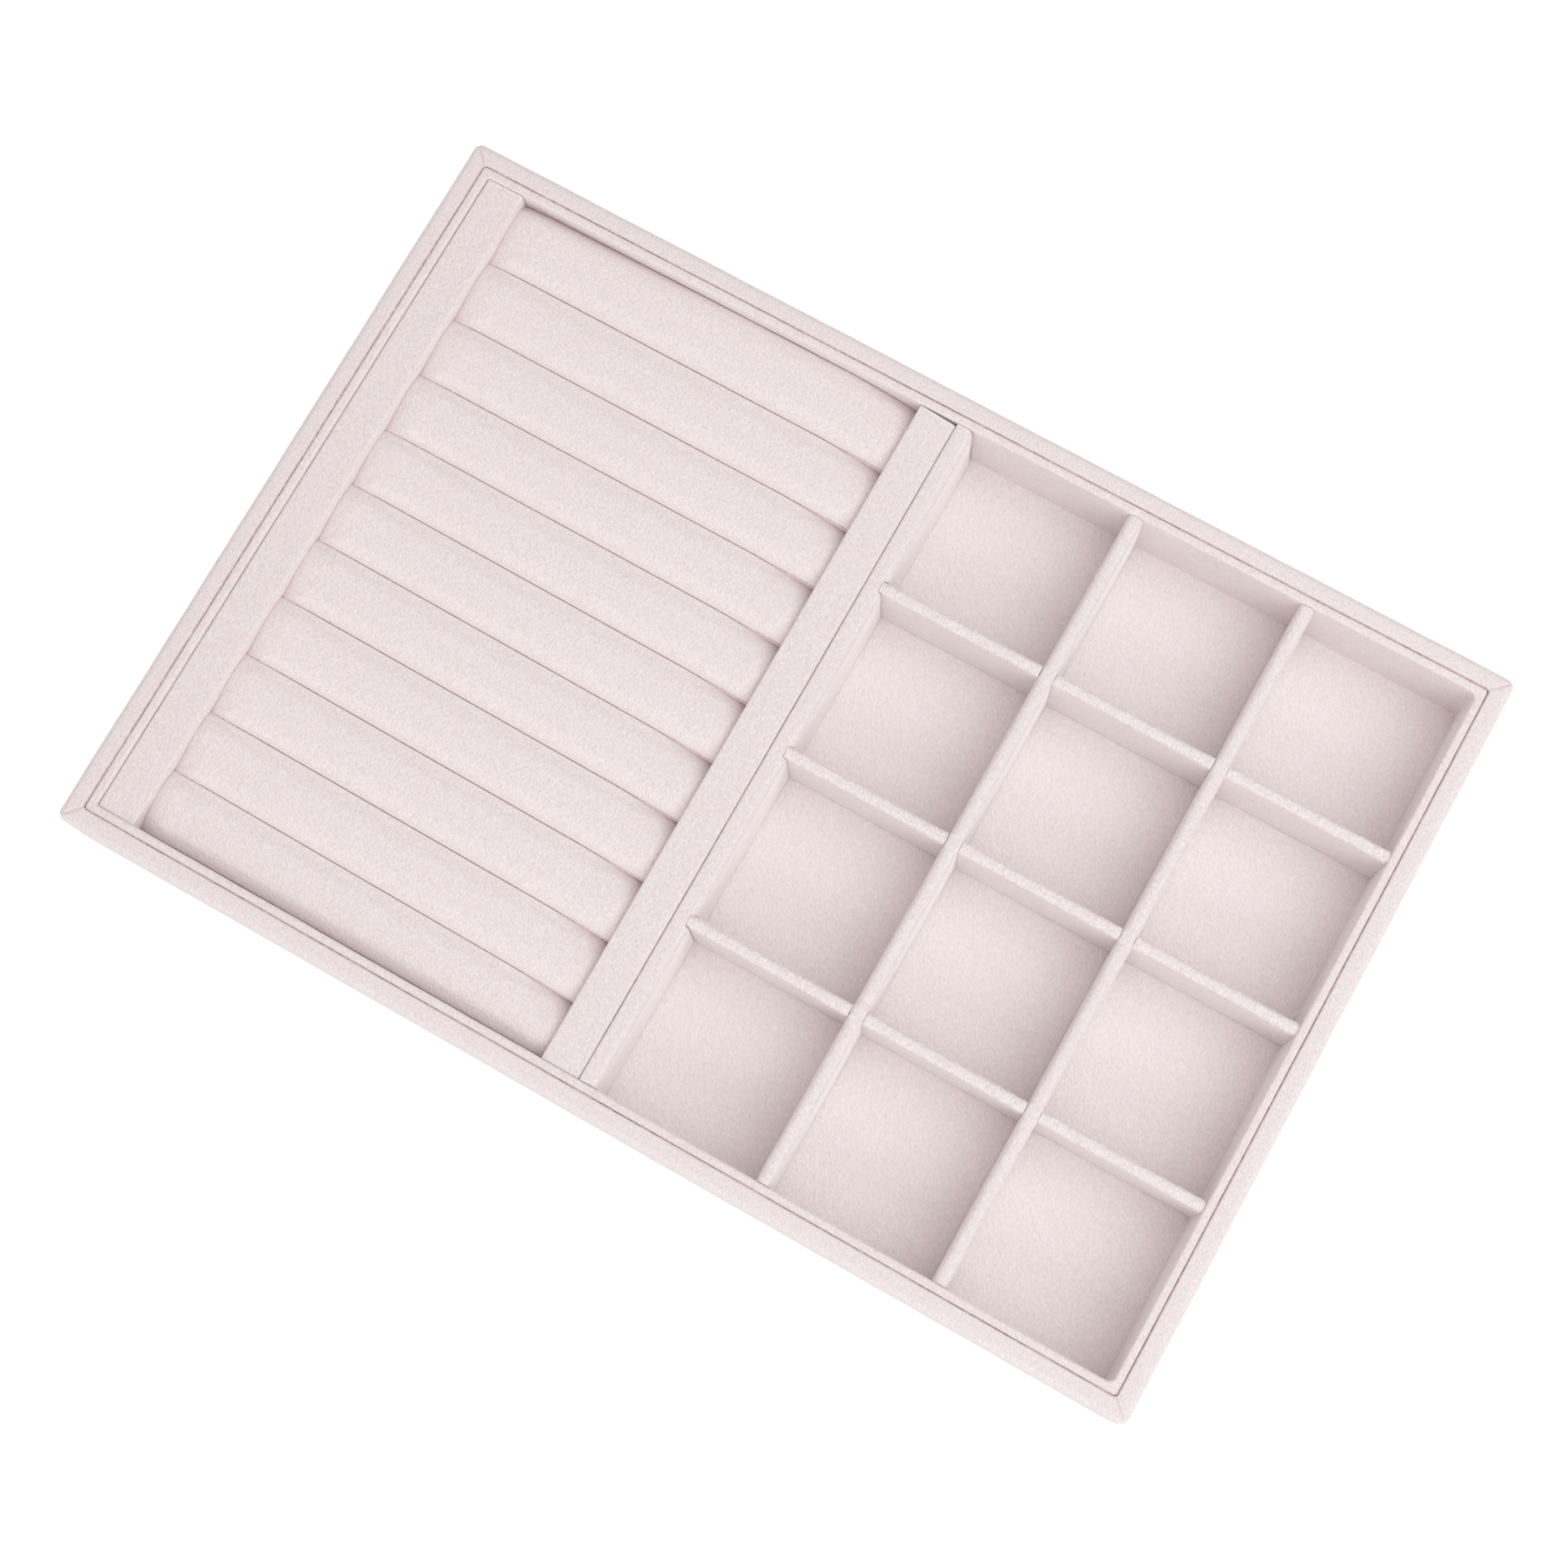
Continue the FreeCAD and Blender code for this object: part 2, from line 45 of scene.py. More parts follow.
class Wire:
    """A socket of a material's nodes, so that shader sums are written as Python."""

    def __init__(self, tree, socket=None):
        self.tree, self.socket = tree, socket

    def join(self, end, value):
        if isinstance(value, Wire):
            self.tree.links.new(value.socket, end)
        else:
            end.default_value = value

    def make(self, kind, settings, sockets, out=0):
        node = self.tree.nodes.new(kind)
        for name, value in settings.items():
            setattr(node, name, value)
        for name, value in sockets.items():
            self.join(node.inputs[name], value)
        return Wire(self.tree, node.outputs[out])

    def sum(self, operation, first, second):
        return self.make("ShaderNodeMath", {"operation": operation}, {0: first, 1: second})

    def __add__(self, other):
        return self.sum("ADD", self, other)

    def __radd__(self, other):
        return self.sum("ADD", other, self)

    def __sub__(self, other):
        return self.sum("SUBTRACT", self, other)

    def __rsub__(self, other):
        return self.sum("SUBTRACT", other, self)

    def __mul__(self, other):
        return self.sum("MULTIPLY", self, other)

    def __rmul__(self, other):
        return self.sum("MULTIPLY", other, self)

    def shade(self, amount, low, high):
        """A colour between two, by an amount from 0 to 1."""
        return self.make(
            "ShaderNodeMix", {"data_type": "RGBA"}, {0: amount, 6: low, 7: high}, 2
        )

    def noise(self, place, size, detail=2.0):
        """Lumps of about this size in metres, from 0 to 1."""
        return self.make(
            "ShaderNodeTexNoise",
            {},
            {"Vector": place, "Scale": 1 / size, "Detail": detail, "Roughness": 0.55},
        )


def new_finish(name):
    """A material by this name, with a wire to make its nodes and its shader."""
    finish = bpy.data.materials.new(name)
    finish.use_nodes = True
    tree = finish.node_tree
    return finish, Wire(tree), tree.nodes["Principled BSDF"]


def grey_board():
    finish, wire, shader = new_finish("grey_board")
    place = wire.make("ShaderNodeTexCoord", {}, {}, "Object")
    fibres = wire.noise(place, 0.0007, 5.0)
    clumps = wire.noise(place, 0.006, 3.0)
    tone = fibres * 0.65 + clumps * 0.35
    wire.join(
        shader.inputs["Base Color"],
        wire.shade(tone, (0.42, 0.34, 0.325, 1), (0.66, 0.57, 0.55, 1)),
    )
    wire.join(shader.inputs["Roughness"], 0.8 + fibres * 0.15)
    wire.join(
        shader.inputs["Normal"],
        wire.make(
            "ShaderNodeBump", {}, {"Strength": 0.5, "Distance": 0.0002, "Height": tone}
        ),
    )
    return finish


board_finish = grey_board()
for node_name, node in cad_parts.items():
    if node_name.endswith(("_core", "_board")):
        node.data.materials.clear()
        node.data.materials.append(board_finish)


# Outer wrap
# Four strips of pale pink microfibre suede are glued over the walls: hemmed under the base, up the
# outside, over the rim and down behind the liner. They meet in mitred seams at the four corners.

NAP_TURN = math.radians(29.5)
# Deep pink of the painted shade in seams, grooves and gaps.
PAINTED_SEAM_SHADE = (0.53, 0.355, 0.35, 1)
BROAD_FACE, NARROW_FACE = 0.004, 0.0014
FOLD_STEPS = 6
SEAM_SHOWN, SEAM_LOST = 0.002, 0.003
SMOOTH_ANGLE = math.radians(50)


def suede(name, dark, light, grain, pebble):
    """Brushed microfibre: short fibres lie one way on pebbled cloth; seams and grooves get painted
    shade.
    """
    finish, wire, shader = new_finish(name)
    place = wire.make("ShaderNodeTexCoord", {}, {}, "Object")
    brushed = wire.make(
        "ShaderNodeMapping",
        {"vector_type": "TEXTURE"},
        {"Vector": place, "Rotation": (0, 0, NAP_TURN), "Scale": (1.0, 1.9, 1.3)},
    )
    fibres = wire.noise(brushed, 0.00048, 1.0)
    pebbles = wire.noise(brushed, 0.0009, 1.0)
    tone = fibres * 0.8 + pebbles * 0.2
    # Painted shade: a point attribute mixes the cloth towards a deep pink in seams, grooves and gaps,
    # where shade falls.
    seam_shade = wire.make("ShaderNodeAttribute", {"attribute_name": "seam_shade"}, {}, "Fac")
    cloth = wire.shade(tone, dark, light)
    inside = seam_shade * ((fibres + pebbles) * 2.6 - 1.6)
    wire.join(shader.inputs["Base Color"], wire.shade(inside, cloth, PAINTED_SEAM_SHADE))
    wire.join(shader.inputs["Roughness"], 0.86 + fibres * 0.12)
    height = fibres * grain + pebbles * pebble
    wire.join(
        shader.inputs["Normal"],
        wire.make(
            "ShaderNodeBump", {}, {"Strength": 1.0, "Distance": 0.001, "Height": height}
        ),
    )
    shader.inputs["Specular IOR Level"].default_value = 0.15
    shader.inputs["Sheen Weight"].default_value = 1.0
    shader.inputs["Sheen Roughness"].default_value = 0.5
    shader.inputs["Sheen Tint"].default_value = (1.0, 0.95, 0.95, 1)
    return finish


def pick(piece, kind, test):
    """Selects the verts, edges or faces, of the piece being edited, that pass the test."""
    bpy.ops.mesh.select_mode(type={"verts": "VERT", "edges": "EDGE", "faces": "FACE"}[kind])
    bpy.ops.mesh.select_all(action="DESELECT")
    mesh = bmesh.from_edit_mesh(piece.data)
    for part in getattr(mesh, kind):
        if test(part):
            part.select_set(True)
    mesh.select_flush_mode()
    bmesh.update_edit_mesh(piece.data)


def clamp(value):
    """A value kept between 0 and 1."""
    return max(0.0, min(1.0, value))


def middle(part):
    """The middle of an edge or a face."""
    return sum((v.co for v in part.verts), Vector()) / len(part.verts)


def runs_along(edge):
    """Whether an edge follows the length of the strip."""
    line = edge.verts[1].co - edge.verts[0].co
    return abs(line.x) > 0.9 * line.length


def fold_strip(name, start, end, folds, step):
    """A strip of cloth along X, folded at each line of y, z and radius, and left in edit mode."""
    bpy.ops.object.select_all(action="DESELECT")
    bpy.ops.mesh.primitive_plane_add(size=1, location=((start + end) / 2, 0, 0))
    piece = bpy.context.object
    piece.name = piece.data.name = name
    piece.scale.x = end - start
    bpy.ops.object.transform_apply(location=True, rotation=True, scale=True)
    bpy.ops.object.mode_set(mode="EDIT")
    pick(piece, "verts", lambda v: v.co.y > 0)
    bpy.ops.mesh.delete(type="VERT")
    bpy.ops.mesh.select_mode(type="EDGE")
    bpy.ops.mesh.select_all(action="SELECT")
    bpy.ops.transform.translate(value=(0, folds[0][0] + 0.5, folds[0][1]))
    for (y0, z0, _), (y1, z1, _) in zip(folds, folds[1:]):
        bpy.ops.mesh.extrude_region_move(
            TRANSFORM_OT_translate={"value": (0, y1 - y0, z1 - z0)}
        )
    for y, z, radius in folds:
        if radius:
            pick(
                piece,
                "edges",
                lambda e: runs_along(e)
                and abs(middle(e).y - y) + abs(middle(e).z - z) < 1e-6,
            )
            bpy.ops.mesh.bevel(offset=radius, segments=FOLD_STEPS, affect="EDGES")
    pick(piece, "edges", lambda e: not runs_along(e) and e.calc_length() > BROAD_FACE)
    bpy.ops.mesh.subdivide(number_cuts=7)
    pick(piece, "edges", lambda e: not runs_along(e) and e.calc_length() > NARROW_FACE)
    bpy.ops.mesh.subdivide(number_cuts=2)
    cuts = max(2, math.ceil(math.sqrt((end - start) / step)))
    for _ in range(2):
        pick(piece, "edges", runs_along)
        bpy.ops.mesh.subdivide(number_cuts=cuts - 1)
    bpy.ops.mesh.select_all(action="SELECT")
    bpy.ops.mesh.normals_make_consistent(inside=False)
    mesh = bmesh.from_edit_mesh(piece.data)
    if max(mesh.faces, key=lambda f: middle(f).z).normal.z < 0:
        bpy.ops.mesh.flip_normals()
    return piece


def cut(point, direction, trim=False):
    """Cuts the piece being edited across a plane, and trims off what lies beyond it."""
    bpy.ops.mesh.select_all(action="SELECT")
    bpy.ops.mesh.bisect(plane_co=point, plane_no=direction, clear_outer=trim)


def shape(piece, move):
    """Leaves edit mode and moves each point of the cloth one by one, by its place and its normal."""
    if piece.mode == "EDIT":
        bpy.ops.object.mode_set(mode="OBJECT")
    places = [move(v.co.copy(), v.normal.copy()) for v in piece.data.vertices]
    for v, place in zip(piece.data.vertices, places):
        v.co = place
    piece.data.update()


def ruffle(piece, size, depth, where=None):
    """Works lumps of this size and depth into the cloth, all over or by a share at each point."""
    lumps = bpy.data.textures.new(f"{piece.name}_lumps", "CLOUDS")
    lumps.noise_scale = size
    lumps.noise_depth = 1
    nap = piece.modifiers.new("nap", "DISPLACE")
    nap.texture = lumps
    nap.strength = depth
    nap.mid_level = 0.5
    if where:
        group = piece.vertex_groups.new(name="nap")
        for v in piece.data.vertices:
            group.add([v.index], where(v.co), "REPLACE")
        nap.vertex_group = group.name
    bpy.ops.object.modifier_apply(modifier=nap.name)
    piece.vertex_groups.clear()


def paint_seam_shade(piece, depth, share):
    """Stores painted shade at each point of the cloth, by how far it lies into seams or grooves, from
    0 to a depth of at most 1.
    """
    seam_shade = piece.data.attributes.new("seam_shade", "FLOAT", "POINT")
    for v in piece.data.vertices:
        seam_shade.data[v.index].value = depth * clamp(share(v.co))


def fade(top, place):
    """1 at the top edge of the painted shade in seams and grooves, and 0 a few millimetres down the
    side.
    """
    return 1 - max(0.0, top - place.z - SEAM_SHOWN) / SEAM_LOST


def bend(x, corner, radius):
    """How far an edge leaves its straight line near a corner, where it turns in an arc."""
    along = max(0.0, min(radius, corner - abs(x)))
    return radius - math.sqrt(radius**2 - (radius - along) ** 2)


def turn(piece, degrees):
    """Turns a finished piece about the middle of the tray."""
    piece.rotation_euler.z = math.radians(degrees)
    bpy.ops.object.transform_apply(location=True, rotation=True, scale=True)


def dress(piece, finish, body, thickness, node):
    """Gives a strip its thickness and finish, and lets it stand for its cover in the frame."""
    skin = piece.modifiers.new("thickness", "SOLIDIFY")
    skin.thickness = thickness
    skin.offset = -1
    bpy.ops.object.modifier_apply(modifier=skin.name)
    bpy.ops.object.shade_smooth_by_angle(angle=SMOOTH_ANGLE)
    piece.data.materials.clear()
    piece.data.materials.append(finish)
    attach(piece, body)
    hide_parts(node)


wrap_finish = suede(
    "suede", (0.60, 0.495, 0.495, 1), (0.925, 0.87, 0.865, 1), 0.10, 0.20
)
CLOTH = 0.0005
TRAY_HALF_LENGTH, TRAY_HALF_WIDTH, TRAY_HEIGHT = 0.175, 0.120, 0.030
CORNER_RADIUS = 0.0025
SEAM_RADIUS = 0.0012
SEAM_REACH = 0.00042
RIM = 0.006
HEM = 0.012
HEM_HEIGHT = 0.0005
TURN_IN = 0.024
FOOT_FOLD, RIM_FOLD, INNER_FOLD = 0.0012, 0.0022, 0.0006
CORNER_BLEND = 0.003
MITRE_TUCK, MITRE_REACH = 0.00036, 0.0009
# Painted shade at the mitres: its strength and reach.
MITRE_SHADE, MITRE_SHADE_REACH = 0.5, 0.0004
STRIP_STEP = 0.0007
NAP_SIZE, NAP_DEPTH = 0.0011, 0.00022
NAP_HEIGHT = 0.027


def wall_wrap(side, half_length, half_width, degrees, seam_shade_depth):
    outer, inner = -half_width, -half_width + RIM
    folds = [
        (outer + HEM, HEM_HEIGHT, 0),
        (outer, HEM_HEIGHT, FOOT_FOLD),
        (outer, TRAY_HEIGHT, RIM_FOLD),
        (inner, TRAY_HEIGHT, INNER_FOLD),
        (inner, TURN_IN, 0),
    ]
    piece = fold_strip(f"{side}_wall_wrap", -half_length, half_length, folds, STRIP_STEP)
    corner = half_length - RIM
    for end in (-1, 1):
        for along in (0.0, 0.3, 0.6, 0.9, 1.2):
            cut((end * (corner - along * SEAM_RADIUS), 0, 0), (1, 0, 0))

    def round_corner(place, normal):
        near = clamp((place.y - inner + CORNER_BLEND) / CORNER_BLEND)
        place.y += near * bend(place.x, corner, SEAM_RADIUS)
        past = abs(place.x) - (half_length - CORNER_RADIUS)
        if past > 0:
            share = clamp((inner - place.y) / RIM)
            past = min(past, CORNER_RADIUS)
            place.y += share * (
                CORNER_RADIUS - math.sqrt(CORNER_RADIUS**2 - past**2)
            )
        return place

    shape(piece, round_corner)
    bpy.ops.object.mode_set(mode="EDIT")
    for end in (-1, 1):
        for aside in (0.0008, 0.0004, 0.0):
            start = half_length - aside * math.sqrt(2)
            cut((end * start, outer, 0), (end, 1, 0), trim=aside == 0)

    def from_mitre(place):
        return max(0.0, (half_length - abs(place.x) - (place.y - outer)) / math.sqrt(2))

    def tuck_seam(place, normal):
        outside = max(0.3, min(1.0, (inner - place.y) / CORNER_BLEND))
        near = max(0.0, 1 - from_mitre(place) / MITRE_REACH)
        return place - normal * MITRE_TUCK * outside * near**2

    # Painted shade on the rim beside the liner, and a weaker one at the mitres.
    def seam_shade_share(place):
        line = inner + bend(place.x, corner, SEAM_RADIUS)
        beside_liner = 1 - (line - place.y) / SEAM_REACH
        return max(beside_liner, MITRE_SHADE * (1 - from_mitre(place) / MITRE_SHADE_REACH))

    shape(piece, tuck_seam)
    ruffle(piece, 0.016, 0.00022)
    ruffle(
        piece,
        NAP_SIZE,
        NAP_DEPTH,
        lambda p: max(0.15, 1 - abs(p.y - inner) / 0.0016) if p.z > NAP_HEIGHT else 0.1,
    )
    paint_seam_shade(piece, seam_shade_depth, seam_shade_share)
    turn(piece, degrees)
    dress(
        piece,
        wrap_finish,
        "tray",
        CLOTH,
        f"{side}_wall_cover",
    )


wall_wrap("front", TRAY_HALF_LENGTH, TRAY_HALF_WIDTH, 0, 0.48)
wall_wrap("right", TRAY_HALF_WIDTH, TRAY_HALF_LENGTH, 90, 1.0)
wall_wrap("rear", TRAY_HALF_LENGTH, TRAY_HALF_WIDTH, 180, 0.68)
wall_wrap("left", TRAY_HALF_WIDTH, TRAY_HALF_LENGTH, 270, 1.0)


# Underside
# A sheet of smooth grey-pink felt is glued under the base and covers the hems of the wrap.
# It is the face that the tray stands on.

def felt():
    finish, wire, shader = new_finish("underside_felt")
    place = wire.make("ShaderNodeTexCoord", {}, {}, "Object")
    fibres = wire.noise(place, 0.0005, 6.0)
    clouds = wire.noise(place, 0.014, 3.0)
    tone = fibres * 0.6 + clouds * 0.4
    wire.join(
        shader.inputs["Base Color"],
        wire.shade(tone, (0.62, 0.54, 0.53, 1), (0.80, 0.72, 0.71, 1)),
    )
    wire.join(shader.inputs["Roughness"], 0.9 + fibres * 0.1)
    wire.join(
        shader.inputs["Normal"],
        wire.make(
            "ShaderNodeBump",
            {},
            {"Strength": 0.6, "Distance": 0.0002, "Height": fibres},
        ),
    )
    shader.inputs["Sheen Weight"].default_value = 0.15
    return finish


def laid_sheet(name, half_length, half_width, height, cuts):
    """A flat sheet of cloth, divided finely enough to take its unevenness."""
    bpy.ops.object.select_all(action="DESELECT")
    bpy.ops.mesh.primitive_plane_add(size=2, location=(0, 0, height))
    piece = bpy.context.object
    piece.name = piece.data.name = name
    piece.scale = (half_length, half_width, 1)
    bpy.ops.object.transform_apply(location=True, rotation=True, scale=True)
    bpy.ops.object.mode_set(mode="EDIT")
    bpy.ops.mesh.select_all(action="SELECT")
    for _ in range(2):
        bpy.ops.mesh.subdivide(number_cuts=cuts - 1)
    return piece


UNDERSIDE_HALF = (0.170, 0.115)
HEM_EDGE_HALF = (0.163, 0.108)
FELT = 0.0005
FELT_STEP = 0.003
underside = laid_sheet("underside_felt_sheet", *UNDERSIDE_HALF, FELT, 10)


def over_hems(place, normal):
    """The felt steps up onto the base inside the hems, and its cut edge is pressed down."""
    inside = min(HEM_EDGE_HALF[0] - abs(place.x), HEM_EDGE_HALF[1] - abs(place.y))
    place.z += HEM_HEIGHT * clamp(inside / FELT_STEP)
    return place


shape(underside, over_hems)
dress(
    underside,
    felt(),
    "tray",
    FELT,
    "underside_sheet",
)


# Floor lining
# One sheet of the same suede, with a coarser grain, is glued over the base inside the walls.
# It shows on the floor of the twelve compartments. Its colour is written lighter than the wrap's,
# as painted light that offsets the shade in the compartments.

FLOOR_HALF = (0.169, 0.114)
FLOOR_TOP = 0.0034
FLOOR_CLOTH = 0.0004
# Painted light: lighter than the wrap's suede, to offset the shade that falls in the compartments.
floor_finish = suede(
    "floor_suede", (0.77, 0.668, 0.668, 1), (0.985, 0.935, 0.935, 1), 0.13, 0.32
)
lining = laid_sheet("floor_lining_sheet", *FLOOR_HALF, FLOOR_TOP, 14)
bpy.ops.object.mode_set(mode="OBJECT")
ruffle(lining, 0.009, 0.00008)
dress(
    lining,
    floor_finish,
    "tray",
    FLOOR_CLOTH,
    "floor_lining",
)


# Liners
# Four thin boards wrapped in suede stand inside the walls, a little lower than the rim, and are
# mitred at the corners. Their rounded top edges leave a fine dark line against the rim, deepened by
# painted shade.

LINER_OUTER_GAP = 0.006
LINER = 0.0028
LINER_TOP = 0.0296
LINER_TURN_IN = 0.022
LINER_FOLD = 0.0008
LINER_TUCK, LINER_TUCK_REACH = 0.00008, 0.0008
TIGHT_CORNER, WIDE_CORNER = 0.0006, 0.0020
CORNER_CUTS = (0.0, 0.0004, 0.0008, 0.0012, 0.0017, 0.0022, 0.0028, 0.0033, 0.0040, 0.0048)


def liner_wrap(side, half_length, half_width, degrees, seam_shade_depth, start_corner, end_corner):
    outer = -half_width + LINER_OUTER_GAP
    inner = outer + LINER
    reach = half_length - LINER_OUTER_GAP
    folds = [
        (outer, LINER_TURN_IN, 0),
        (outer, LINER_TOP, LINER_FOLD),
        (inner, LINER_TOP, LINER_FOLD),
        (inner, FLOOR_TOP, 0),
    ]
    piece = fold_strip(f"{side}_liner_wrap", -reach, reach, folds, STRIP_STEP)
    for end in (-1, 1):
        for along in CORNER_CUTS:
            cut((end * (reach - along), 0, 0), (1, 0, 0))

    def round_corner(place, normal):
        """The liner turns its corners in arcs, along the rim and round the inside of the tray."""
        share = clamp((place.y - outer) / LINER)
        inside = end_corner if place.x > 0 else start_corner
        place.y += (1 - share) * bend(place.x, reach, SEAM_RADIUS)
        place.y += share * bend(place.x, reach - LINER, inside)
        return place

    shape(piece, round_corner)
    bpy.ops.object.mode_set(mode="EDIT")
    for end in (-1, 1):
        cut((end * reach, outer, 0), (end, 1, 0), trim=True)

    def tuck_seam(place, normal):
        gap = max(0.0, reach - abs(place.x) - (place.y - outer)) / math.sqrt(2)
        return place - normal * LINER_TUCK * max(0.0, 1 - gap / LINER_TUCK_REACH) ** 2

    # Painted shade on the liner's outer face, along the join with the rim.
    def seam_shade_share(place):
        line = outer + bend(place.x, reach, SEAM_RADIUS)
        return 1 - (place.y - line) / SEAM_REACH

    shape(piece, tuck_seam)
    ruffle(piece, 0.012, 0.00016)
    ruffle(
        piece,
        NAP_SIZE,
        NAP_DEPTH,
        lambda p: max(0.2, 1 - abs(p.y - outer) / 0.0014) if p.z > NAP_HEIGHT else 0.1,
    )
    paint_seam_shade(piece, seam_shade_depth, seam_shade_share)
    turn(piece, degrees)
    dress(
        piece,
        wrap_finish,
        "tray",
        CLOTH,
        f"{side}_liner_cover",
    )


liner_wrap("front", TRAY_HALF_LENGTH, TRAY_HALF_WIDTH, 0, 0.48, TIGHT_CORNER, WIDE_CORNER)
liner_wrap("right", TRAY_HALF_WIDTH, TRAY_HALF_LENGTH, 90, 1.0, WIDE_CORNER, WIDE_CORNER)
liner_wrap("rear", TRAY_HALF_LENGTH, TRAY_HALF_WIDTH, 180, 0.68, WIDE_CORNER, TIGHT_CORNER)
liner_wrap("left", TRAY_HALF_WIDTH, TRAY_HALF_LENGTH, 270, 1.0, TIGHT_CORNER, TIGHT_CORNER)


# Partition
# A thicker wrapped board parts the rings from the compartments and is glued in place.
# Its right side has a wide soft edge and three notches that take the ends of the cross dividers.

PARTITION_HALF_RUN = 0.1111
PARTITION_TOP = 0.0292
PARTITION_LEFT, PARTITION_RIGHT = -0.0038, 0.0020
CUT_EDGE = FLOOR_TOP + 0.00025
NOTCH_DEPTH = 0.0014
NOTCH_HALF = 0.00195
NOTCH_EDGE = 0.0002
NOTCH_SHADE_EDGE, NOTCH_SHADE_DEPTH = 0.0003, 0.0004
SOFT_FOLD, BAR_SIDE_FOLD = 0.0020, 0.0007
END_RUN, END_DRAW = 0.0025, 0.0008
CROSS_ROWS = (-0.05655, 0.0, 0.05655)
partition_folds = [
    (-PARTITION_RIGHT, CUT_EDGE, 0),
    (-PARTITION_RIGHT, PARTITION_TOP, SOFT_FOLD),
    (-PARTITION_LEFT, PARTITION_TOP, BAR_SIDE_FOLD),
    (-PARTITION_LEFT, CUT_EDGE, 0),
]
partition = fold_strip(
    "partition_wrap", -PARTITION_HALF_RUN, PARTITION_HALF_RUN, partition_folds, 0.0006
)


def notch_partition(place, normal):
    """Presses the notches into the right side and draws that side in at the rear end."""
    near = min(abs(place.x - row) for row in CROSS_ROWS)
    pressed = clamp((NOTCH_HALF + NOTCH_EDGE - near) / NOTCH_EDGE)
    floor_of_notch = -PARTITION_RIGHT + NOTCH_DEPTH
    if place.y < floor_of_notch:
        place.y += (floor_of_notch - place.y) * pressed
    past = max(0.0, place.x - (PARTITION_HALF_RUN - END_RUN)) / END_RUN
    right = clamp((0.0018 - place.y) / 0.0038)
    place.y += END_DRAW * right * past**2
    return place


shape(partition, notch_partition)
ruffle(partition, 0.012, 0.00014)
ruffle(partition, 0.0011, 0.00016, lambda p: 0.8 if p.z > 0.026 else 0.1)


def partition_seam_shade(place):
    """Painted shade beside the right end bar, and in the notches round the ends of the cross
    dividers.
    """
    beside_bar = 1 - (-PARTITION_LEFT - place.y) / SEAM_REACH
    near = min(abs(place.x - row) for row in CROSS_ROWS)
    in_notch = (NOTCH_HALF + NOTCH_SHADE_EDGE - near) / NOTCH_SHADE_EDGE
    depth = place.y + PARTITION_RIGHT - NOTCH_DEPTH
    return max(
        min(fade(PARTITION_TOP, place), beside_bar),
        min(in_notch, 1 - depth / NOTCH_SHADE_DEPTH),
    )


paint_seam_shade(partition, 0.2, partition_seam_shade)
turn(partition, 90)
dress(
    partition,
    wrap_finish,
    "tray",
    CLOTH,
    "partition_cover",
)


# Cross dividers
# Three wrapped boards run from the partition to the right liner and are halved from above.
# Their cloth is brushed up along the top into a soft uneven pile.

CROSS_START, CROSS_END = 0.0007, 0.16616
CROSS_HALF = 0.0019
CROSS_TOP = 0.0287
CROSS_LAP = 0.0159
LONG_COLUMNS = (0.05597, 0.11223)
LONG_HALF = 0.0023
LAP_CLEARANCE = 0.0001
CROSS_FOLD = 0.0013
PILE_HEIGHT = 0.0268
pile_finish = suede(
    "suede_pile", (0.60, 0.49, 0.49, 1), (0.965, 0.915, 0.91, 1), 0.20, 0.18
)
cross_folds = [
    (-CROSS_HALF, CUT_EDGE, 0),
    (-CROSS_HALF, CROSS_TOP, CROSS_FOLD),
    (CROSS_HALF, CROSS_TOP, CROSS_FOLD),
    (CROSS_HALF, CUT_EDGE, 0),
]
for place_name, row in zip(("front", "middle", "rear"), CROSS_ROWS):
    piece = fold_strip(
        f"{place_name}_cross_divider_wrap", CROSS_START, CROSS_END, cross_folds, 0.00034
    )
    cut((0, 0, CROSS_LAP), (0, 0, 1))
    for column in LONG_COLUMNS:
        for edge in (-1, 1):
            reach = column + edge * (LONG_HALF + LAP_CLEARANCE)
            cut((reach, 0, 0), (1, 0, 0))
    pick(
        piece,
        "faces",
        lambda f: middle(f).z > CROSS_LAP
        and min(abs(middle(f).x - c) for c in LONG_COLUMNS)
        < LONG_HALF + LAP_CLEARANCE,
    )
    bpy.ops.mesh.delete(type="FACE")
    bpy.ops.mesh.select_all(action="SELECT")
    bpy.ops.transform.translate(value=(0, row, 0))
    bpy.ops.object.mode_set(mode="OBJECT")
    ruffle(piece, 0.010, 0.00012)
    ruffle(piece, 0.0022, 0.0003, lambda p: 1.0 if p.z > PILE_HEIGHT else 0.1)
    ruffle(piece, 0.0007, 0.0005, lambda p: 1.0 if p.z > PILE_HEIGHT else 0.08)
    dress(
        piece,
        pile_finish,
        "cross_dividers",
        CLOTH,
        f"{place_name}_cross_divider_cover",
    )


# Long dividers
# Two wrapped boards with smooth round tops run from front to rear. They are halved from below over
# the cross dividers, and lift out of the cross dividers' slots.

LONG_HALF_RUN = 0.1111
LONG_TOP = 0.0291
LONG_LAP = 0.0162
LONG_FOLD = 0.0019
long_folds = [
    (-LONG_HALF, CUT_EDGE, 0),
    (-LONG_HALF, LONG_TOP, LONG_FOLD),
    (LONG_HALF, LONG_TOP, LONG_FOLD),
    (LONG_HALF, CUT_EDGE, 0),
]


def ease(value):
    """A share from 0 to 1 that starts and ends gently."""
    value = clamp(value)
    return value * value * (3 - 2 * value)


def meet_cross(place, normal):
    """The round top is pressed square where it meets the cross dividers."""
    near = min(abs(place.x - row) for row in CROSS_ROWS)
    aside = abs(place.y) - (LONG_HALF - LONG_FOLD)
    up = place.z - (LONG_TOP - LONG_FOLD)
    if aside > 0 and up > 0:
        square = LONG_FOLD / (aside**5 + up**5) ** 0.2
        press = (square - 1) * ease((CROSS_HALF + 0.0006 - near) / 0.0008)
        place.y += math.copysign(aside * press, place.y)
        place.z += up * press
    return place


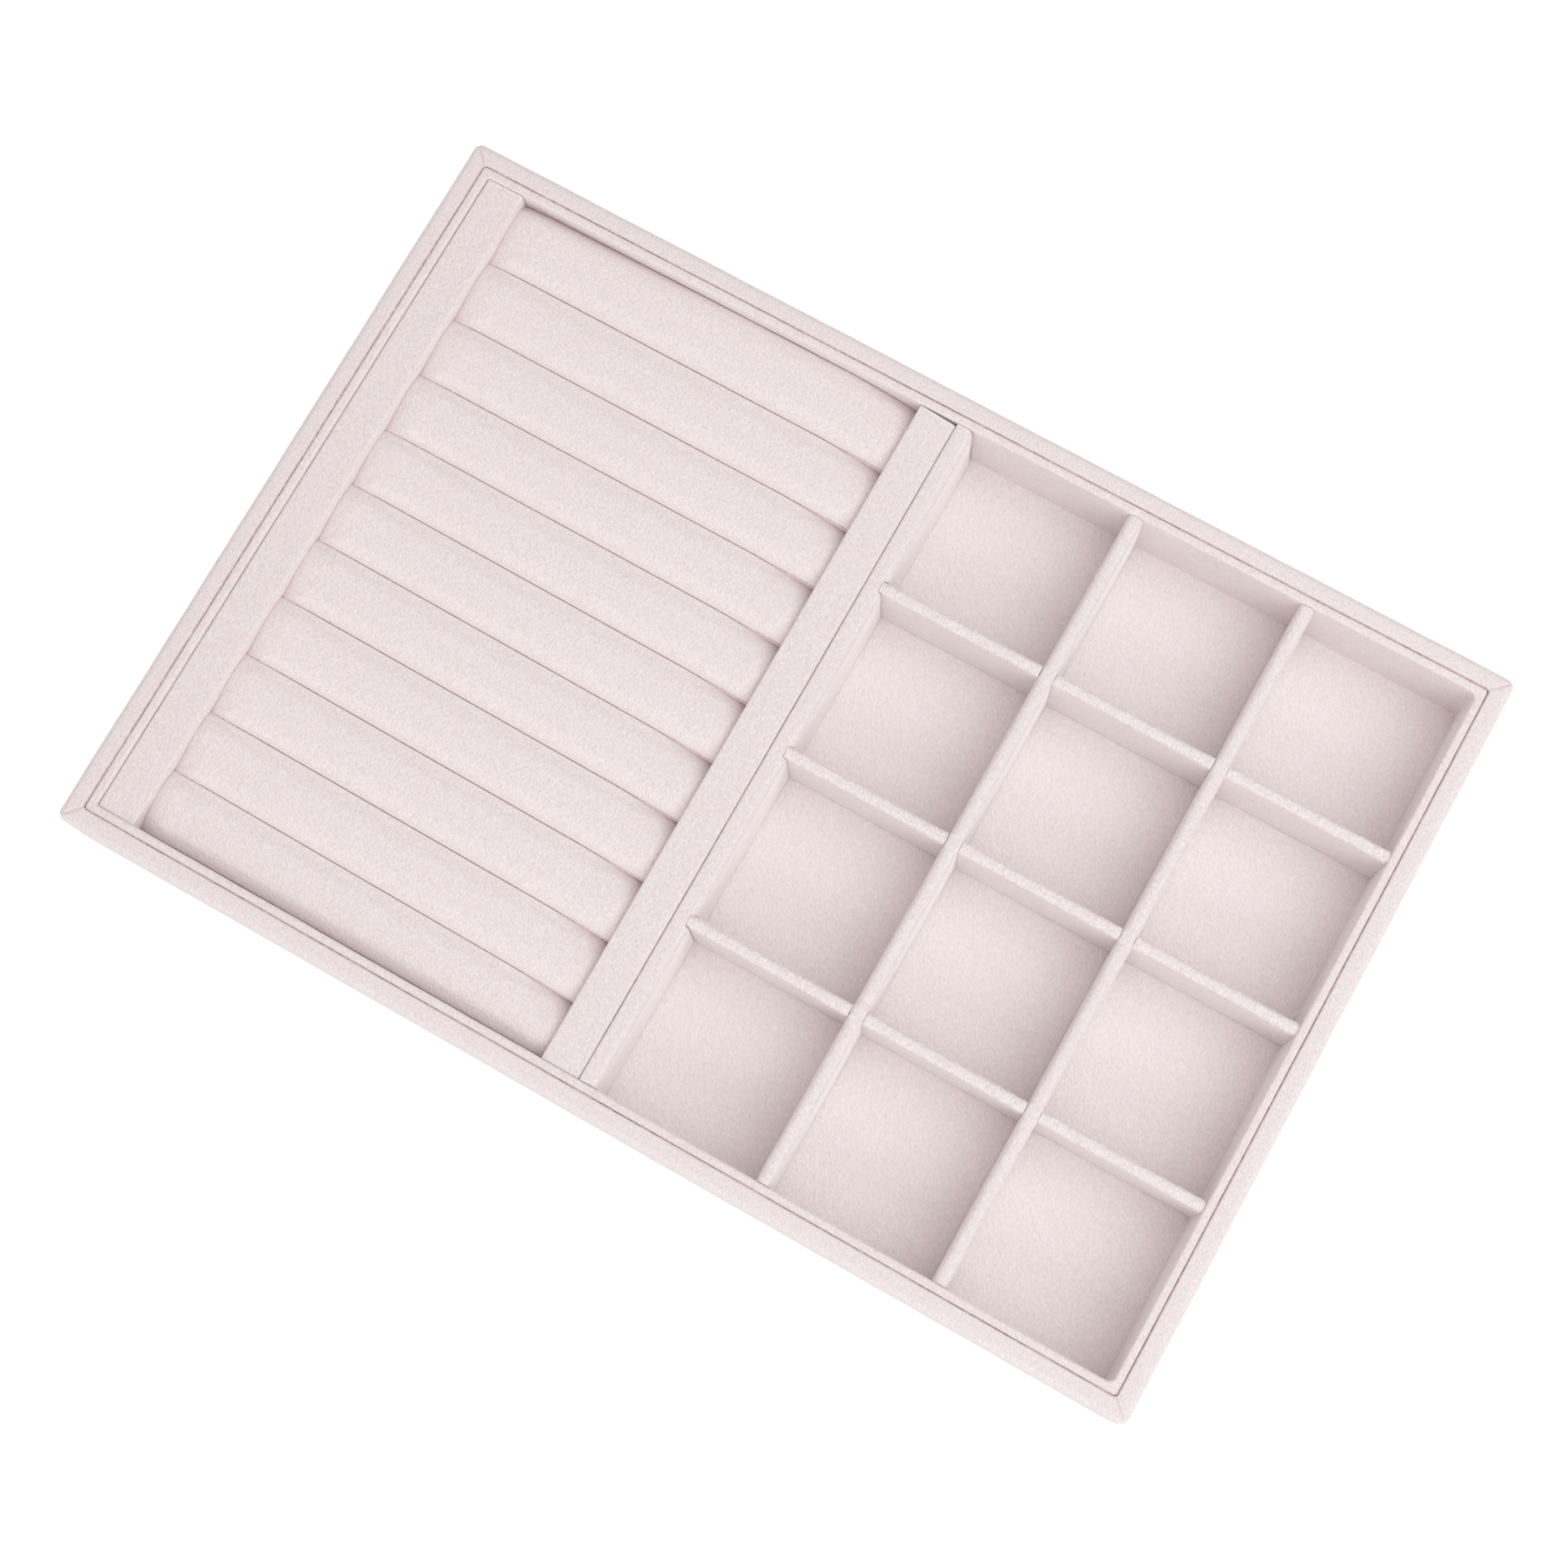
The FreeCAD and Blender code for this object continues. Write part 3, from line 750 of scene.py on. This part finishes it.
for place_name, column in zip(("left", "right"), LONG_COLUMNS):
    piece = fold_strip(
        f"{place_name}_long_divider_wrap",
        -LONG_HALF_RUN,
        LONG_HALF_RUN,
        long_folds,
        STRIP_STEP,
    )
    cut((0, 0, LONG_LAP), (0, 0, 1))
    for row in CROSS_ROWS:
        for edge in (-1, 1):
            cut((row + edge * (CROSS_HALF + LAP_CLEARANCE), 0, 0), (1, 0, 0))
    pick(
        piece,
        "faces",
        lambda f: middle(f).z < LONG_LAP
        and min(abs(middle(f).x - r) for r in CROSS_ROWS) < CROSS_HALF + LAP_CLEARANCE,
    )
    bpy.ops.mesh.delete(type="FACE")
    shape(piece, meet_cross)
    turn(piece, 90)
    bpy.ops.object.mode_set(mode="EDIT")
    bpy.ops.mesh.select_all(action="SELECT")
    bpy.ops.transform.translate(value=(column, 0, 0))
    bpy.ops.object.mode_set(mode="OBJECT")
    ruffle(piece, 0.012, 0.00014)
    ruffle(piece, 0.0011, 0.0001)
    dress(
        piece,
        wrap_finish,
        f"{place_name}_long_divider",
        CLOTH,
        f"{place_name}_long_divider_cover",
    )


# End bars
# Two square bars wrapped in suede stand on the lift-out board of the ring insert and hold the ends
# of the rolls. The right bar is cut a little short at the rear, on a slant.

BAR_FOOT, BAR_TOP = 0.0054, 0.0289
BAR_FRONT = -0.1111
SEAM_FOLD, ROLL_FOLD = 0.0009, 0.0006
SLANT_RUN, SLANT = 0.004, 0.0008
for place_name, left, right, rear, left_fold, right_fold in (
    ("left", -0.16606, -0.1538, 0.1110, SEAM_FOLD, ROLL_FOLD),
    ("right", -0.0162, -0.00392, 0.1102, ROLL_FOLD, SEAM_FOLD),
):
    bar_folds = [
        (-right, BAR_FOOT, 0),
        (-right, BAR_TOP, right_fold),
        (-left, BAR_TOP, left_fold),
        (-left, BAR_FOOT, 0),
    ]
    piece = fold_strip(f"{place_name}_end_bar_wrap", BAR_FRONT, rear, bar_folds, 0.0008)

    def slant_end(place, normal):
        if place_name == "right" and place.x > rear - SLANT_RUN:
            share = (place.x - rear + SLANT_RUN) / SLANT_RUN
            place.x += SLANT * share * max(0.0, (place.y + right) / (right - left))
        return place

    shape(piece, slant_end)
    ruffle(piece, 0.014, 0.00010)
    ruffle(piece, 0.0011, 0.00012)
    seam_side = -left if place_name == "left" else -right

    # Painted shade along the top of the side that meets the liner or the partition.
    def seam_shade_share(place):
        return min(fade(BAR_TOP, place), 1 - abs(place.y - seam_side) / SEAM_REACH)

    paint_seam_shade(piece, 0.35, seam_shade_share)
    turn(piece, 90)
    dress(
        piece,
        wrap_finish,
        "ring_insert",
        CLOTH,
        f"{place_name}_end_bar_cover",
    )


# Ring rolls
# Eleven foam sticks in sleeves of the same suede lie side by side on the insert board, glued down
# by their feet. Rings are pushed into the narrow grooves between them.
# One roll is swelled by simulation, copied, and each copy is packed in between two grooves.

ROLL_LEFT, ROLL_RIGHT = -0.1542, -0.0158
BAR_SIDES = (-0.1538, -0.0162)
ROLL_FOOT, ROLL_TOP = 0.0054, 0.0268
ROLL_HALF = 0.010
ROLL_PITCH = 0.020064
ROLLS_FRONT, ROLLS_REAR = -0.1111, 0.11132
ROLL_COUNT = 11
ARCH = 0.0007
ARCH_POWER = 3.0
SWELL_CAP = 0.0003
FRONT_FALL, REAR_FALL = 0.0024, 0.0026
POCKET, POCKET_HEIGHT = 0.075, 0.0248
ROLL_PRESS = 0.00024
FRONT_EDGE, REAR_EDGE = 0.28, 0.2
LEFT_DROP, LEFT_RUN = 0.0006, 0.004
LEFT_FRONT_DROP, LEFT_FRONT_RUN = 0.0022, 0.008
LEFT_REAR_DROP, LEFT_REAR_RUN = 0.0016, 0.014
RIGHT_DROP, RIGHT_RUN = 0.0008, 0.005
RIGHT_REAR_DROP, RIGHT_REAR_RUN = 0.0042, 0.024
LEFT_CREEP, REAR_LEFT_CREEP, RIGHT_CREEP = 0.0003, 0.0012, 0.0018
SWELL_FRAMES = 20
roll_finish = suede(
    "roll_suede", (0.625, 0.52, 0.52, 1), (0.945, 0.89, 0.884, 1), 0.12, 0.20
)


def roll_section(share):
    """The place across a roll and its height over the side, a share of the way over the arch."""
    across = math.sin((share - 0.5) * math.pi)
    return across, 1 - abs(across) ** ARCH_POWER


bpy.ops.object.select_all(action="DESELECT")
bpy.ops.mesh.primitive_cube_add(size=1, location=(0, 0, 0))
roll = bpy.context.object
roll.name = roll.data.name = "ring_roll_master"
bpy.ops.object.mode_set(mode="EDIT")
bpy.ops.mesh.select_all(action="SELECT")
bpy.ops.mesh.subdivide(number_cuts=17)
pick(roll, "edges", runs_along)
bpy.ops.mesh.subdivide(number_cuts=5)


def stuff_roll(place, normal):
    """Turns the block into an arched stick, a little smaller than its place."""
    x = ROLL_LEFT + (place.x + 0.5) * (ROLL_RIGHT - ROLL_LEFT)
    half = ROLL_HALF - 0.0001
    side = ROLL_TOP - 0.0004 - ARCH
    across, arch = roll_section(place.y + 0.5)
    up = place.z + 0.5
    if place.z > 0.4999:
        return Vector((x, across * half, side + arch * ARCH))
    y = across * half if abs(place.x) > 0.4999 else 2 * place.y * half
    top = side + arch * ARCH if abs(place.x) > 0.4999 else side
    return Vector((x, y, ROLL_FOOT + up * (top - ROLL_FOOT)))


shape(roll, stuff_roll)
rest_places = [v.co.copy() for v in roll.data.vertices]
glued = roll.vertex_groups.new(name="glued")
for v in roll.data.vertices:
    if v.co.z < ROLL_FOOT + 0.001:
        glued.add([v.index], 1.0, "REPLACE")
swell = roll.modifiers.new("swell", "CLOTH")
swell.settings.quality = 6
swell.settings.mass = 0.002
swell.settings.use_pressure = True
swell.settings.uniform_pressure_force = 6.0
swell.settings.effector_weights.gravity = 0
swell.settings.vertex_group_mass = glued.name
swell.point_cache.frame_start, swell.point_cache.frame_end = 1, SWELL_FRAMES
for step in range(1, SWELL_FRAMES + 1):
    bpy.context.scene.frame_set(step)
bpy.ops.object.modifier_apply(modifier=swell.name)
bpy.context.scene.frame_set(1)
roll.vertex_groups.clear()
for v, rest in zip(roll.data.vertices, rest_places):
    moved = v.co - rest
    v.co = rest + moved * min(1.0, SWELL_CAP / max(moved.length, 1e-9))
finer = roll.modifiers.new("finer", "SUBSURF")
finer.levels = finer.render_levels = 1
bpy.ops.object.modifier_apply(modifier=finer.name)


def near_end(distance, run):
    """1 at an end of the roll and 0 at this run from it."""
    return max(0.0, 1 - distance / run)


def draw_in(place, normal):
    """Keeps the roll in its place and draws its sleeve down at the ends, most at the corners."""
    place.x = max(ROLL_LEFT, min(ROLL_RIGHT, place.x))
    place.y = max(-ROLL_HALF, min(ROLL_HALF, place.y))
    place.z = max(ROLL_FOOT, min(ROLL_TOP, place.z))
    from_left, from_right = place.x - ROLL_LEFT, ROLL_RIGHT - place.x
    front = ease(0.5 - place.y / 0.016)
    rear = (max(0.0, place.y + 0.002) / 0.012) ** 2
    drop = LEFT_DROP * near_end(from_left, LEFT_RUN) ** 2
    drop += LEFT_FRONT_DROP * front * near_end(from_left, LEFT_FRONT_RUN) ** 2
    drop += LEFT_REAR_DROP * rear * near_end(from_left, LEFT_REAR_RUN) ** 2
    drop += RIGHT_DROP * near_end(from_right, RIGHT_RUN) ** 2
    drop += RIGHT_REAR_DROP * rear * near_end(from_right, RIGHT_REAR_RUN) ** 1.4
    place.z -= drop * (place.z - ROLL_FOOT) / (ROLL_TOP - ROLL_FOOT)
    return place


def groove(number, x):
    """Where the groove behind this roll runs: pushed towards the front, most at the right end."""
    if number == 0:
        return ROLLS_FRONT
    if number == ROLL_COUNT:
        return ROLLS_REAR
    even = ROLLS_FRONT + 0.0001 + number * ROLL_PITCH
    along = (x - ROLL_LEFT) / (ROLL_RIGHT - ROLL_LEFT)
    left = LEFT_CREEP + REAR_LEFT_CREEP * ease((number - 5) / 3)
    creep = left + (RIGHT_CREEP - left) * along
    return even - creep * min(1.0, (ROLL_COUNT - number) / 2)


def rear_pocket(x):
    """How far the last roll falls away from the rear liner: most at the left end, from 1 to 0."""
    return near_end(x - ROLL_LEFT, POCKET)


shape(roll, draw_in)
for number in range(1, ROLL_COUNT + 1):
    bpy.ops.object.select_all(action="DESELECT")
    roll.select_set(True)
    bpy.context.view_layer.objects.active = roll
    bpy.ops.object.duplicate()
    piece = bpy.context.object
    piece.name = piece.data.name = f"ring_roll_{number:02d}"

    def pack_in(place, normal):
        front, rear = groove(number - 1, place.x), groove(number, place.x)
        front -= ROLL_PRESS if number > 1 else 0
        rear += ROLL_PRESS if number < ROLL_COUNT else 0
        share = (place.y + ROLL_HALF) / (2 * ROLL_HALF)
        place.y = front + share * (rear - front)
        height = (place.z - ROLL_FOOT) / (ROLL_TOP - ROLL_FOOT)
        if number == 1:
            place.z -= FRONT_FALL * height * near_end(share, FRONT_EDGE) ** 2
        if number == ROLL_COUNT:
            fall = REAR_FALL * (0.25 + 0.75 * rear_pocket(place.x))
            place.z -= fall * height * near_end(1 - share, REAR_EDGE) ** 2
        return place

    def from_groove(place):
        return min(abs(place.y - groove(edge, place.x)) for edge in (number - 1, number))

    def groove_shade(place):
        """Painted shade in the grooves, against the end bars, along the front of each roll and where
        the sleeve falls away.
        """
        left_bar = 0.8 - (place.x - BAR_SIDES[0]) / SEAM_REACH
        right_bar = 0.2 - (BAR_SIDES[1] - place.x) / SEAM_REACH
        behind = 0.3 * (1 - (place.y - groove(number - 1, place.x)) / 0.0018)
        fallen = (ROLL_TOP - 0.0016 - place.z) / 0.004
        pocket = rear_pocket(place.x) * max(0.0, 1 - (ROLLS_REAR - place.y) / 0.003)
        beside = 1 - from_groove(place) / SEAM_REACH
        inside = max(beside, left_bar, right_bar, behind, fallen, pocket)
        return min(inside, fade(ROLL_TOP - 0.002, place))

    def on_crown(place):
        """Nearly nothing beside the grooves, where the rolls press on each other."""
        return ease((from_groove(place) - 0.0002) / 0.002)

    shape(piece, pack_in)
    ruffle(piece, 0.013, 0.00016, on_crown)
    ruffle(piece, 0.0016, 0.00007, on_crown)
    paint_seam_shade(piece, 0.6, groove_shade)
    bpy.ops.object.shade_smooth()
    piece.data.materials.clear()
    piece.data.materials.append(roll_finish)
    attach(piece, "ring_insert")
    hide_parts(f"ring_roll_cover_{number:02d}", f"ring_roll_foam_{number:02d}")
bpy.data.objects.remove(roll)

# Painted shade on the rear liner's cloth, where the last roll falls away from it.
rear_liner = bpy.data.objects["rear_liner_wrap"].data
for v in rear_liner.vertices:
    x, y, z = v.co
    if y < ROLLS_REAR + 0.0002 and BAR_SIDES[0] < x < BAR_SIDES[1]:
        above_roll = max(0.0, 1 - abs(z - POCKET_HEIGHT) / 0.0026)
        tone = above_roll * (0.35 + 0.6 * rear_pocket(x))
        rear_liner.attributes["seam_shade"].data[v.index].value = tone


# Studio
# The tray lies on a white sheet under a wide soft sky, with a large soft lamp at its right and a
# weaker, far one in front. The camera looks down on it, a little right of and before its middle.

SKY_LIGHT = 0.615
GROUND_GLOW = 0.50
sky = bpy.data.worlds.new("studio_sky")
bpy.context.scene.world = sky
sky.use_nodes = True


def seen_plainly(wire):
    """1 for a camera ray, straight or by way of gloss or glass, and 0 for light on the tray."""
    rays = ("Is Camera Ray", "Is Glossy Ray", "Is Transmission Ray")
    camera, gloss, glass = (wire.make("ShaderNodeLightPath", {}, {}, ray) for ray in rays)
    return camera + gloss + glass


sky_wire = Wire(sky.node_tree)
backdrop = sky.node_tree.nodes["Background"]
sky_wire.join(
    backdrop.inputs["Color"],
    sky_wire.shade(seen_plainly(sky_wire), (1, 0.92, 0.92, 1), (1, 1, 1, 1)),
)
sky_wire.join(
    backdrop.inputs["Strength"], SKY_LIGHT + seen_plainly(sky_wire) * (1 - SKY_LIGHT)
)

bpy.ops.object.select_all(action="DESELECT")
bpy.ops.mesh.primitive_plane_add(size=6, location=(0, 0, -0.0002))
ground = bpy.context.object
ground.name = ground.data.name = "white_ground"
ground_finish, wire, shader = new_finish("white_ground")
shader.inputs["Base Color"].default_value = (0.80, 0.80, 0.80, 1)
shader.inputs["Roughness"].default_value = 0.95
shader.inputs["Specular IOR Level"].default_value = 0.0
glow = (GROUND_GLOW, GROUND_GLOW, GROUND_GLOW, 1)
wire.join(
    shader.inputs["Emission Color"], wire.shade(seen_plainly(wire), (0, 0, 0, 1), glow)
)
shader.inputs["Emission Strength"].default_value = 1.0
ground.data.materials.append(ground_finish)


def soft_lamp(name, place, size, power, colour):
    """A large soft lamp at a place, turned to the tray."""
    lamp = bpy.data.objects.new(name, bpy.data.lights.new(name, "AREA"))
    bpy.context.scene.collection.objects.link(lamp)
    lamp.data.shape = "DISK"
    lamp.data.size = size
    lamp.data.energy = power
    lamp.data.color = colour
    lamp.location = place
    lamp.rotation_euler = (-Vector(place)).to_track_quat("-Z", "Y").to_euler()


soft_lamp("key_lamp", (0.56, 0.12, 1.06), 1.6, 8.6, (0.90, 1, 1))
soft_lamp("front_lamp", (0.42, -2.0, 1.05), 2.1, 20.0, (0.95, 1, 1))

camera = bpy.data.objects.new("camera", bpy.data.cameras.new("camera"))
bpy.context.scene.collection.objects.link(camera)
camera.location = (0.10152, -0.13448, 0.77730)
camera.rotation_euler = tuple(math.radians(a) for a in (11.838, 1.698, 29.486))
camera.data.lens = 60.925
camera.data.sensor_width = 36
camera.data.clip_start, camera.data.clip_end = 0.01, 20
bpy.context.scene.camera = camera
bpy.context.scene.view_settings.view_transform = "Standard"
